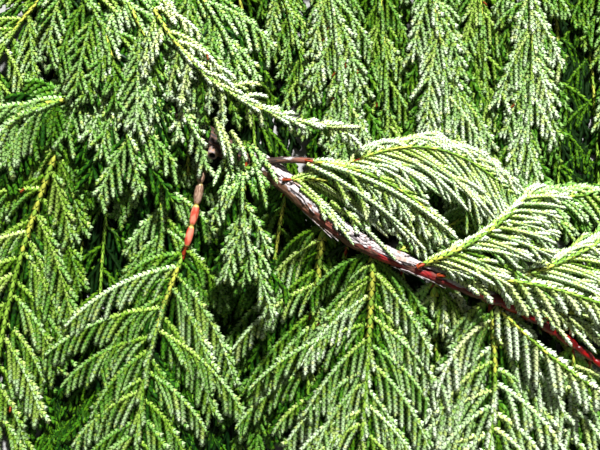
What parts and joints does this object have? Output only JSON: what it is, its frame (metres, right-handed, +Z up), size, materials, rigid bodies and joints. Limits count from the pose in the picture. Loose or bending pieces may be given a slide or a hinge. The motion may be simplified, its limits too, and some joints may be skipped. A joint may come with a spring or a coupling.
{
  "type": "cut nootka cypress limb",
  "caption": "Cut limb of a weeping false cypress: a flaking woody stem with side twigs and flat, hanging sprays of scale leaves, laid down.",
  "frame": {"origin": "under the middle of the limb's box, on the surface it lies on", "axes": "+Z up, +X along the limb's longer way towards its tip, -Y the way the sprays hang"},
  "size_m": [0.3668, 0.2756, 0.0432],
  "materials": {
    "bark": "silver-grey flaking bark over brown",
    "twig": "smooth red-brown young bark",
    "foliage": "overlapping green scale leaves"
  },
  "bodies": {
    "root": {"main_stem": "bark", "upper_bough": "bark", "far_left_twig": "twig", "left_twig": "twig", "side_twig": "twig", "arching_spray": "foliage", "center_spray": "foliage", "far_left_spray": "foliage", "hanging_spray_1": "foliage", "hanging_spray_2": "foliage", "hanging_spray_3": "foliage", "hanging_spray_4": "foliage", "hanging_spray_5": "foliage", "left_inner_spray": "foliage", "left_low_spray": "foliage", "left_side_spray": "foliage", "left_top_spray": "foliage", "low_spray_1": "foliage", "low_spray_2": "foliage", "low_spray_3": "foliage", "low_spray_4": "foliage", "low_spray_5": "foliage", "low_spray_6": "foliage", "low_spray_7": "foliage", "low_top_spray_1": "foliage", "low_top_spray_2": "foliage", "low_top_spray_3": "foliage", "low_top_spray_4": "foliage", "lower_middle_spray": "foliage", "middle_fan": "foliage", "right_back_spray_1": "foliage", "right_back_spray_2": "foliage", "right_spray_far": "foliage", "right_spray_front": "foliage", "right_spray_low": "foliage", "right_spray_near": "foliage", "tip_spray": "foliage", "top_spray_1": "foliage", "top_spray_2": "foliage", "top_spray_3": "foliage", "top_spray_4": "foliage", "top_spray_5": "foliage", "top_spray_6": "foliage", "top_spray_7": "foliage", "upper_fan": "foliage", "upper_spray_1": "foliage", "upper_spray_2": "foliage", "upper_spray_3": "foliage", "upper_spray_4": "foliage"}
  },
  "joints": []
}
